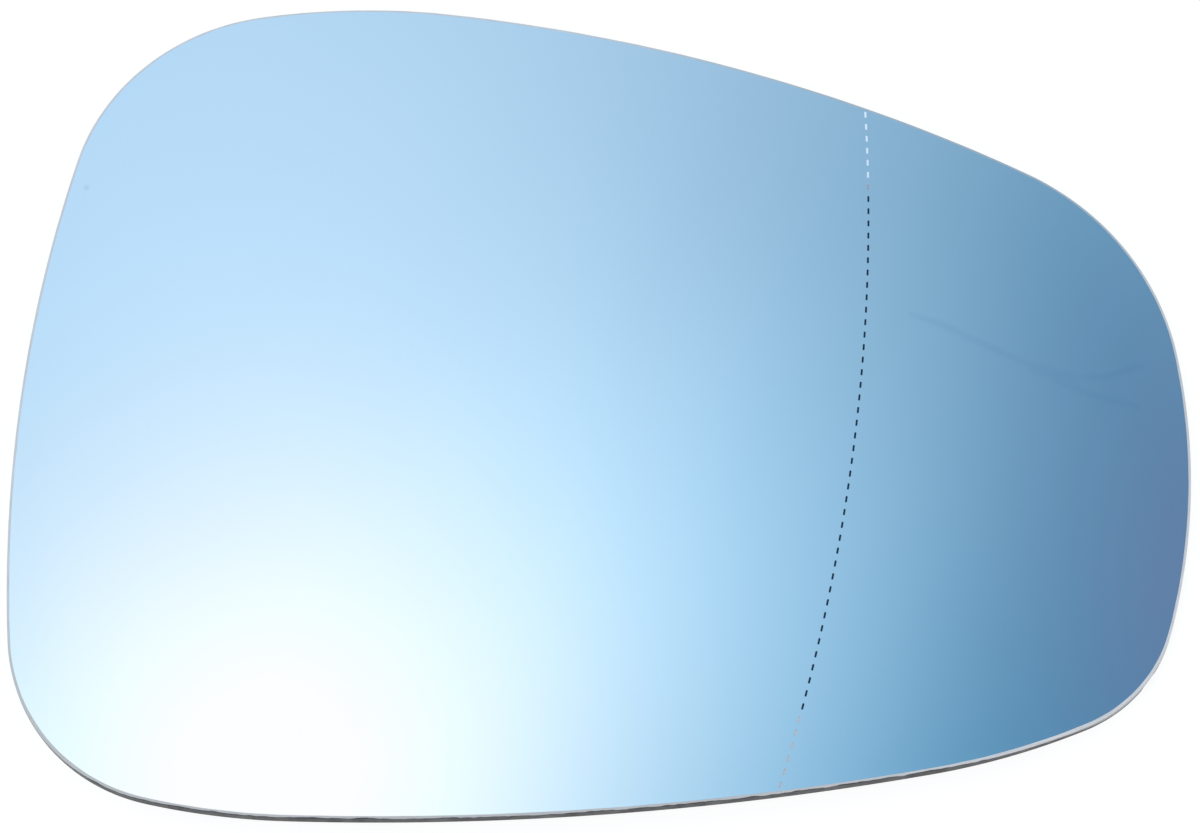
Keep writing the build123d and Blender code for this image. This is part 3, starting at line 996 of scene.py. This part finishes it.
move = add_node(mould, "ShaderNodeCombineXYZ", {"Z": maths(mould, "SUBTRACT", given["Lift"], drop)})
moved = {"Geometry": given["Geometry"], "Offset": move.outputs[0]}
bent = add_node(mould, "GeometryNodeSetPosition", moved).outputs[0]
bent = add_node(mould, "GeometryNodeRealizeInstances", {"Geometry": bent}).outputs[0]
zone = add_node(mould, "GeometryNodeInputNamedAttribute", {"Name": "zone"}, data_type="INT").outputs[0]
for number, finish in enumerate([blue_coat, ground_frost, cut_edge, mirror_back, bare_dash, black_foam]):
    chosen = add_node(mould, "FunctionNodeCompare", {2: zone, 3: number}, data_type="INT", operation="EQUAL")
    finished = {"Geometry": bent, "Selection": chosen.outputs[0], "Material": finish}
    bent = add_node(mould, "GeometryNodeSetMaterial", finished).outputs[0]
mould.links.new(bent, result["Geometry"])
MOULD_SIZES = {
    "Crest": CREST,
    "Ball Radius": BALL_RADIUS,
    "Line Axis": line_axis,
    "Line Angle": line_angle,
    "Bend Growth": bend_growth,
    "Lift": glass_high.z,
}
print("mould tightens by", round(bend_growth * MM * MM, 6), "per mm, per mm")

# %% [markdown]
# The dashes are cut into the flat blank with a Boolean before it is bent, because on a flat face the cut is
# clean and the slots bend with the glass. Smooth shading is then kept to each zone: edges sharper than
# 15 degrees, which are the borders of the ground rim and of the slots, stay crisp.

# %% Mirror glass
CRISP_ANGLE = math.radians(15.0)


def finished_piece(name, blank):
    """Bends a blank over the mould and returns it as a new piece with smooth shading and crisp edges."""
    mesh = shape_with(blank, mould, MOULD_SIZES)
    mesh.name = name
    places = np.zeros(len(mesh.polygons), dtype=np.int32)
    mesh.polygons.foreach_get("material_index", places)
    used = np.unique(places)
    finishes = [mesh.materials[place] for place in used]
    mesh.materials.clear()
    for finish in finishes:
        mesh.materials.append(finish)
    mesh.polygons.foreach_set("material_index", np.searchsorted(used, places).astype(np.int32))
    mesh.shade_smooth()
    mesh.set_sharp_from_angle(angle=CRISP_ANGLE)
    piece = bpy.data.objects.new(name, mesh)
    scene.collection.objects.link(piece)
    return piece


cut = glass_blank.modifiers.new("dash_cut", "BOOLEAN")
cut.operation = "DIFFERENCE"
cut.solver = "MANIFOLD"
cut.object = cutters
mirror_glass = finished_piece("mirror_glass_bent", glass_blank)
backing_pad = finished_piece("backing_pad_foam", pad_blank)
for blank in (glass_blank, pad_blank, cutters):
    bpy.data.objects.remove(blank)
for piece in (mirror_glass, backing_pad):
    print(piece.name, len(piece.data.polygons), "faces,", [slot.name for slot in piece.material_slots])

# %% [markdown]
# Last, each piece is attached to the body it rides on, and the node of the imported model that it stands for
# is hidden.

# %% Hand over
for piece, node in ((mirror_glass, "mirror_glass"), (backing_pad, "backing_pad")):
    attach(piece, "root")
    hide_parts(node)
